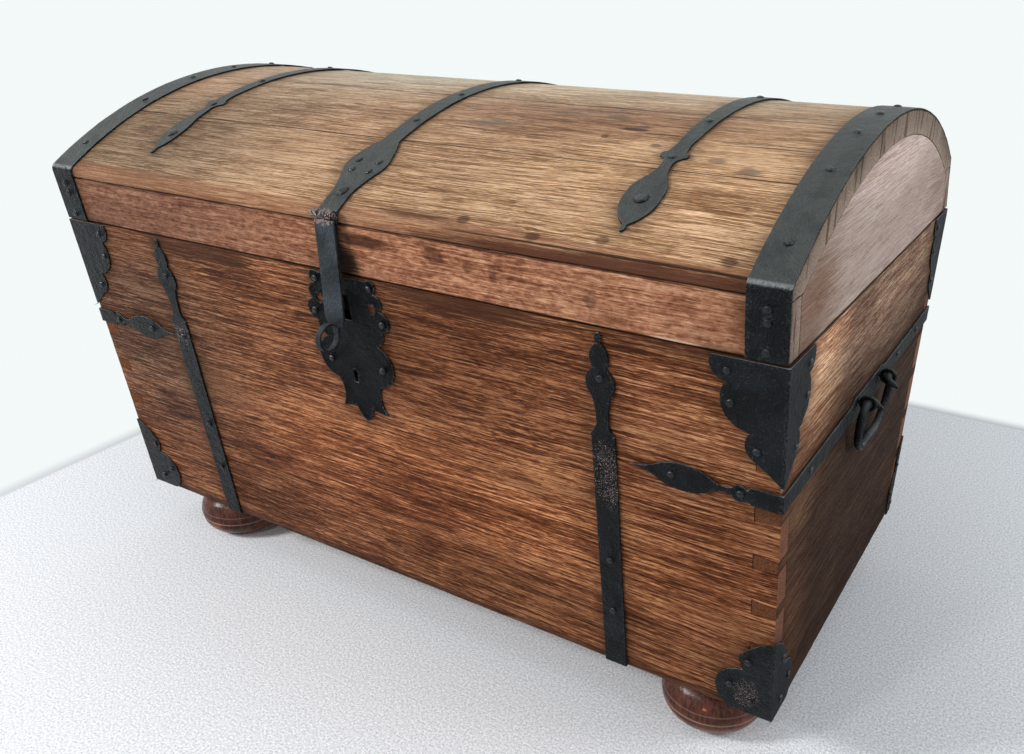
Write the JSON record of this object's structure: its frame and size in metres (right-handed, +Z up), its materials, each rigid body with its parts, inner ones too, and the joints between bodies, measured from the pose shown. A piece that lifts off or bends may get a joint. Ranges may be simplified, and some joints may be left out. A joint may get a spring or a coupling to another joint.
{
  "type": "blanket chest",
  "caption": "Dome-topped oak blanket chest bound with forged iron straps and corners, with a hinged lid, hasp and lock, drop handles and bun feet.",
  "frame": {"origin": "on the floor, midway between the outermost points of the chest to the left and right and to the front and back", "axes": "+X to the chest's right hand end as seen from its front, +Y to its back, where the lid's hinges are, and +Z up"},
  "size_m": [1.2168, 0.845, 0.7921],
  "materials": {
    "body_oak": "old oiled oak, satin, with dark streaks",
    "lid_oak": "weathered pale oak, dull",
    "turned_oak": "dark red-brown turned oak, polished",
    "black_iron": "hand-forged iron, blackened, hammered and worn",
    "nail_iron": "forged nail heads and pins, blackened, worn bright on top",
    "lock_steel": "filed steel, oiled"
  },
  "bodies": {
    "chest": {"back_board": "body_oak", "back_nails": "nail_iron", "body_strap_left": "black_iron", "body_strap_right": "black_iron", "bottom_board_1": "body_oak", "bottom_board_2": "body_oak", "bottom_board_3": "body_oak", "corner_iron_lower_back_left": "black_iron", "corner_iron_lower_back_right": "black_iron", "corner_iron_lower_front_left": "black_iron", "corner_iron_lower_front_right": "black_iron", "corner_iron_upper_back_left": "black_iron", "corner_iron_upper_back_right": "black_iron", "corner_iron_upper_front_left": "black_iron", "corner_iron_upper_front_right": "black_iron", "end_nails": "nail_iron", "foot_back_left": "turned_oak", "foot_back_right": "turned_oak", "foot_front_left": "turned_oak", "foot_front_right": "turned_oak", "front_board": "body_oak", "front_nails": "nail_iron", "handle_eyes_left": "black_iron", "handle_eyes_right": "black_iron", "handle_strap_left": "black_iron", "handle_strap_right": "black_iron", "hinge_leaf_left": "black_iron", "hinge_leaf_right": "black_iron", "hinge_pin_left": "nail_iron", "hinge_pin_right": "nail_iron", "left_side_board": "body_oak", "lock_bolt_guides": "lock_steel", "lock_bolt_spring": "lock_steel", "lock_case": "lock_steel", "lock_key_pin": "lock_steel", "lock_plate": "black_iron", "right_side_board": "body_oak"},
    "lid": {"lid_back_rail": "lid_oak", "lid_end_band_left": "black_iron", "lid_end_band_right": "black_iron", "lid_front_rail": "lid_oak", "lid_gable_left": "lid_oak", "lid_gable_right": "lid_oak", "lid_nails": "nail_iron", "lid_stave_1": "lid_oak", "lid_stave_2": "lid_oak", "lid_stave_3": "lid_oak", "lid_stave_4": "lid_oak", "lid_stave_5": "lid_oak", "lid_strap_left": "black_iron", "lid_strap_middle": "black_iron", "lid_strap_right": "black_iron", "hasp_pin": "nail_iron"},
    "hasp": {"hasp_bar": "black_iron", "hasp_staple": "black_iron"},
    "bolt": {"lock_bolt": "lock_steel"},
    "left_handle": {"handle_left": "black_iron"},
    "right_handle": {"handle_right": "black_iron"}
  },
  "joints": [
    {"name": "lid_hinge", "type": "hinge", "parent": "chest", "child": "lid", "pos_m": [0, 0.4191, 0.5893], "axis": [-1, 0, 0], "range_deg": [0, 100]},
    {"name": "hasp_hinge", "type": "hinge", "parent": "lid", "child": "hasp", "pos_m": [-0.012, -0.3896, 0.671], "axis": [-1, 0, 0], "range_deg": [-7.5, 180]},
    {"name": "lock_bolt_slide", "type": "slide", "parent": "chest", "child": "bolt", "axis": [-1, 0, 0], "range_m": [0, 0.018]},
    {"name": "right_handle_swing", "type": "hinge", "parent": "chest", "child": "right_handle", "pos_m": [0.5901, 0.0005, 0.429], "axis": [0, -1, 0], "range_deg": [-1, 120]},
    {"name": "left_handle_swing", "type": "hinge", "parent": "chest", "child": "left_handle", "pos_m": [-0.5901, 0.0005, 0.429], "axis": [0, 1, 0], "range_deg": [-1, 120]}
  ]
}
